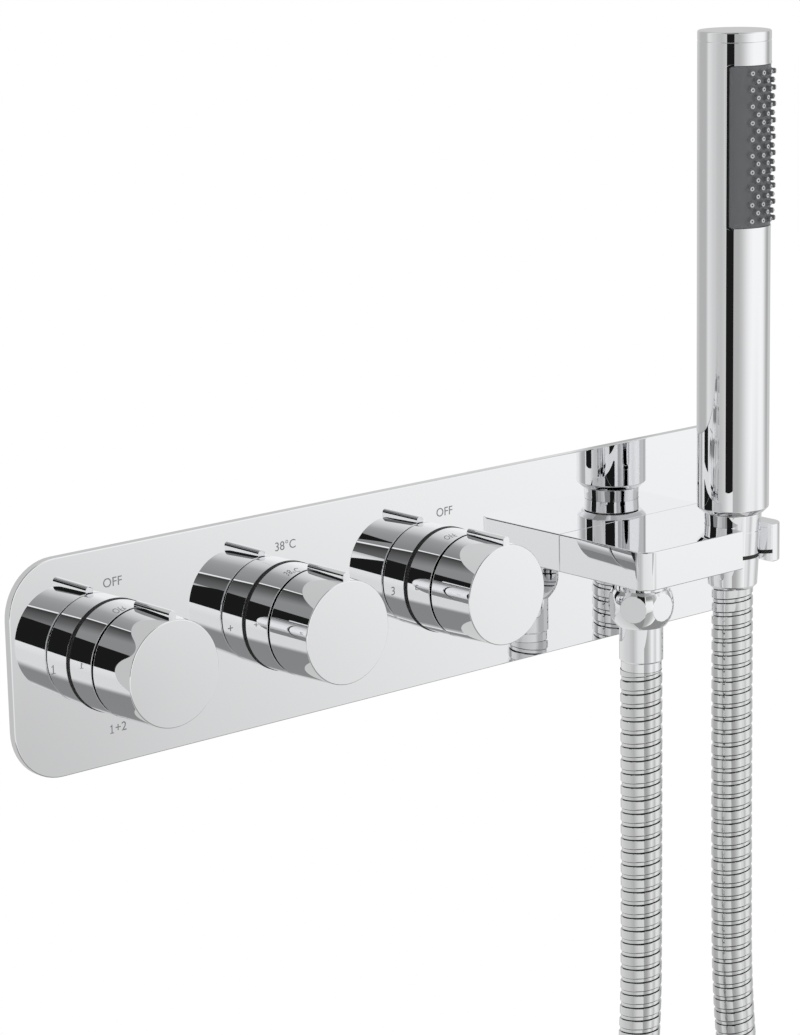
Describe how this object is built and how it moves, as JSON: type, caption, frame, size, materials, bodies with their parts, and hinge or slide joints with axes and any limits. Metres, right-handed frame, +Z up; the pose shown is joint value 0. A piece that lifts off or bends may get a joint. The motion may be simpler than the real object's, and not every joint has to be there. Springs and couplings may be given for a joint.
{
  "type": "thermostatic shower valve",
  "caption": "Concealed thermostatic shower valve with turning knobs on a wall plate, an outlet shelf, a ribbed hose and a lift-out pencil handset.",
  "frame": {"origin": "centre of the four fixing holes, in the plane of the fixing ears' backs, on the middle knob's axis", "axes": "+X to the user's right along the wall plate, +Z up, front towards -Y (out of the wall)"},
  "size_m": [0.4145, 0.1264, 0.7983],
  "materials": {
    "polished_chrome": "mirror polished",
    "cast_brass": "cast and machined",
    "turned_brass": "machined",
    "copper": "drawn",
    "steel": "turned",
    "black_rubber": "matt",
    "grey_silicone": "satin",
    "white_plastic": "moulded",
    "ceramic": "lapped"
  },
  "bodies": {
    "valve": {"wall_plate": "polished_chrome", "plate_gasket": "black_rubber", "valve_body": "cast_brass", "hot_port": "turned_brass", "cold_port": "turned_brass", "outlet_1_port": "turned_brass", "outlet_2_port": "turned_brass", "check_valves": "white_plastic", "diverter_cartridge": "turned_brass", "diverter_cartridge_nut": "turned_brass", "diverter_fixed_disc": "ceramic", "diverter_trim_ring": "black_rubber", "diverter_sleeve": "polished_chrome", "temperature_cartridge": "turned_brass", "temperature_cartridge_nut": "turned_brass", "temperature_stop_ring": "white_plastic", "temperature_trim_ring": "black_rubber", "temperature_sleeve": "polished_chrome", "thermostat_spring": "steel", "handset_flow_cartridge": "turned_brass", "handset_flow_cartridge_nut": "turned_brass", "handset_flow_fixed_disc": "ceramic", "handset_flow_trim_ring": "black_rubber", "handset_flow_sleeve": "polished_chrome", "feed_nipple": "turned_brass", "feed_seals": "black_rubber", "outlet_shelf": "polished_chrome", "shelf_screws": "steel", "outlet_nipple": "polished_chrome", "outlet_washer": "black_rubber", "hose_nut": "polished_chrome", "hose_ferrule": "polished_chrome", "shower_hose": "polished_chrome"},
    "diverter_knob": {"diverter_handle": "polished_chrome", "diverter_tab": "polished_chrome", "diverter_grub_screw": "steel", "diverter_spindle": "turned_brass", "diverter_moving_disc": "ceramic"},
    "temperature_knob": {"temperature_handle": "polished_chrome", "temperature_tab": "polished_chrome", "temperature_grub_screw": "steel", "temperature_spindle": "turned_brass"},
    "handset_flow_knob": {"handset_flow_handle": "polished_chrome", "handset_flow_tab": "polished_chrome", "handset_flow_grub_screw": "steel", "handset_flow_spindle": "turned_brass", "handset_flow_moving_disc": "ceramic"},
    "thermostat": {"thermostat_shuttle": "steel", "wax_element": "copper"},
    "hose_end": {"conical_nut": "polished_chrome", "conical_nut_band": "black_rubber", "hose_bush": "turned_brass", "handset_washer": "black_rubber"},
    "handset": {"handset_body": "polished_chrome", "handset_cap": "polished_chrome", "handset_spigot": "turned_brass", "flow_restrictor": "white_plastic", "water_tube": "white_plastic", "spray_chamber": "white_plastic", "spray_insert": "grey_silicone"}
  },
  "joints": [
    {"name": "diverter_turn", "type": "hinge", "parent": "valve", "child": "diverter_knob", "pos_m": [-0.079, -0.075, 0], "axis": [0, -1, 0], "range_deg": [0, 270]},
    {"name": "temperature_turn", "type": "hinge", "parent": "valve", "child": "temperature_knob", "pos_m": [0, -0.075, 0], "axis": [0, -1, 0], "range_deg": [-90, 90]},
    {"name": "handset_flow_turn", "type": "hinge", "parent": "valve", "child": "handset_flow_knob", "pos_m": [0.079, -0.075, 0], "axis": [0, -1, 0], "range_deg": [0, 90]},
    {"name": "thermostat_slide", "type": "slide", "parent": "valve", "child": "thermostat", "axis": [0, -1, 0], "range_m": [-0.0015, 0.0015], "deforming": ["thermostat_spring"]},
    {"name": "handset_lift", "type": "slide", "parent": "valve", "child": "hose_end", "axis": [0, 0, 1], "range_m": [0, 0.03], "deforming": ["shower_hose"]},
    {"name": "handset_swivel", "type": "hinge", "parent": "hose_end", "child": "handset", "pos_m": [0.2036, -0.1098, 0], "axis": [0, 0, 1], "continuous": true}
  ],
  "couplings": [
    {"joint": "thermostat_slide", "follows": "temperature_turn", "m_per_rad": 0.00095}
  ]
}
